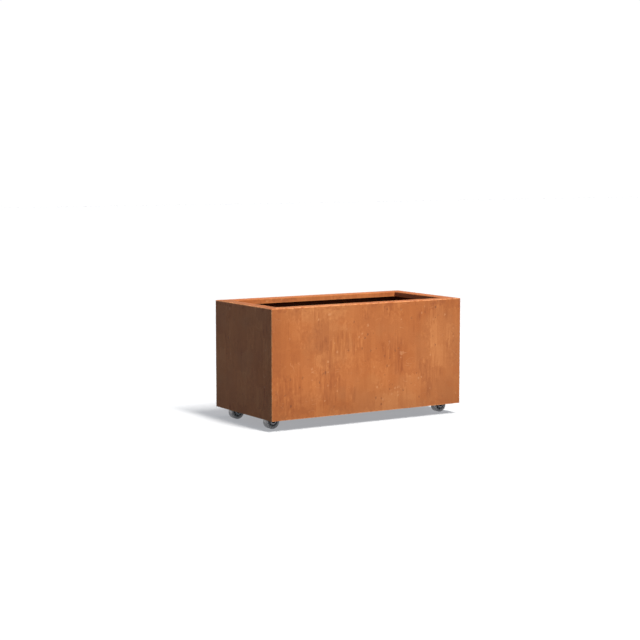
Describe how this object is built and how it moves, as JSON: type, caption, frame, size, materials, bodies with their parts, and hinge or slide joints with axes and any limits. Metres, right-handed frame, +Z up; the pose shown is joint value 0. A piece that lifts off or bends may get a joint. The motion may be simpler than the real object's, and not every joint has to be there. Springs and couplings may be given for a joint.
{
  "type": "rolling planter",
  "caption": "Rectangular planter of weathering steel sheet with a flat folded rim, open at the top, standing on swivel castors tucked up inside its walls.",
  "frame": {"origin": "on the floor under the middle of the box", "axes": "+X along the planter's length, +Y from its front face to its back face, +Z up"},
  "size_m": [1, 0.505, 0.533],
  "materials": {
    "weathered_face": "matte",
    "weathered_base": "matte",
    "zinc_pressings": "satin",
    "zinc_fasteners": "satin",
    "bearing_balls": "polished",
    "wheel_plastic": "matte",
    "bush_plastic": "satin",
    "tyre_rubber": "matte"
  },
  "bodies": {
    "box": {"front_wall": "weathered_face", "back_wall": "weathered_face", "left_wall": "weathered_face", "right_wall": "weathered_face", "base_tray": "weathered_base", "left_bearer": "weathered_base", "right_bearer": "weathered_base", "middle_bearer": "weathered_base", "castor_bolts": "zinc_fasteners", "castor_washers": "zinc_fasteners", "castor_nuts": "zinc_fasteners", "front_left_plate": "zinc_pressings", "front_left_kingpin": "zinc_pressings", "front_left_lower_race": "zinc_pressings", "front_right_plate": "zinc_pressings", "front_right_kingpin": "zinc_pressings", "front_right_lower_race": "zinc_pressings", "back_left_plate": "zinc_pressings", "back_left_kingpin": "zinc_pressings", "back_left_lower_race": "zinc_pressings", "back_right_plate": "zinc_pressings", "back_right_kingpin": "zinc_pressings", "back_right_lower_race": "zinc_pressings"},
    "front_left_swivel": {"front_left_fork": "zinc_pressings", "front_left_balls": "bearing_balls", "front_left_axle_bolt": "zinc_fasteners", "front_left_axle_nut": "zinc_fasteners", "front_left_axle_sleeve": "zinc_fasteners"},
    "front_left_wheel": {"front_left_wheel_centre": "wheel_plastic", "front_left_wheel_bush": "bush_plastic", "front_left_tyre": "tyre_rubber"},
    "front_right_swivel": {"front_right_fork": "zinc_pressings", "front_right_balls": "bearing_balls", "front_right_axle_bolt": "zinc_fasteners", "front_right_axle_nut": "zinc_fasteners", "front_right_axle_sleeve": "zinc_fasteners"},
    "front_right_wheel": {"front_right_wheel_centre": "wheel_plastic", "front_right_wheel_bush": "bush_plastic", "front_right_tyre": "tyre_rubber"},
    "back_left_swivel": {"back_left_fork": "zinc_pressings", "back_left_balls": "bearing_balls", "back_left_axle_bolt": "zinc_fasteners", "back_left_axle_nut": "zinc_fasteners", "back_left_axle_sleeve": "zinc_fasteners"},
    "back_left_wheel": {"back_left_wheel_centre": "wheel_plastic", "back_left_wheel_bush": "bush_plastic", "back_left_tyre": "tyre_rubber"},
    "back_right_swivel": {"back_right_fork": "zinc_pressings", "back_right_balls": "bearing_balls", "back_right_axle_bolt": "zinc_fasteners", "back_right_axle_nut": "zinc_fasteners", "back_right_axle_sleeve": "zinc_fasteners"},
    "back_right_wheel": {"back_right_wheel_centre": "wheel_plastic", "back_right_wheel_bush": "bush_plastic", "back_right_tyre": "tyre_rubber"}
  },
  "joints": [
    {"name": "front_left_turn", "type": "hinge", "parent": "box", "child": "front_left_swivel", "pos_m": [-0.426, -0.1565, 0.033], "axis": [0, 0, 1], "continuous": true},
    {"name": "front_left_roll", "type": "hinge", "parent": "front_left_swivel", "child": "front_left_wheel", "pos_m": [-0.448, -0.1565, 0.033], "axis": [0, 1, 0], "continuous": true},
    {"name": "front_right_turn", "type": "hinge", "parent": "box", "child": "front_right_swivel", "pos_m": [0.426, -0.1565, 0.033], "axis": [0, 0, 1], "continuous": true},
    {"name": "front_right_roll", "type": "hinge", "parent": "front_right_swivel", "child": "front_right_wheel", "pos_m": [0.448, -0.1565, 0.033], "axis": [0, 1, 0], "continuous": true},
    {"name": "back_left_turn", "type": "hinge", "parent": "box", "child": "back_left_swivel", "pos_m": [-0.426, 0.1565, 0.033], "axis": [0, 0, 1], "continuous": true},
    {"name": "back_left_roll", "type": "hinge", "parent": "back_left_swivel", "child": "back_left_wheel", "pos_m": [-0.448, 0.1565, 0.033], "axis": [0, 1, 0], "continuous": true},
    {"name": "back_right_turn", "type": "hinge", "parent": "box", "child": "back_right_swivel", "pos_m": [0.426, 0.1565, 0.033], "axis": [0, 0, 1], "continuous": true},
    {"name": "back_right_roll", "type": "hinge", "parent": "back_right_swivel", "child": "back_right_wheel", "pos_m": [0.448, 0.1565, 0.033], "axis": [0, 1, 0], "continuous": true}
  ]
}
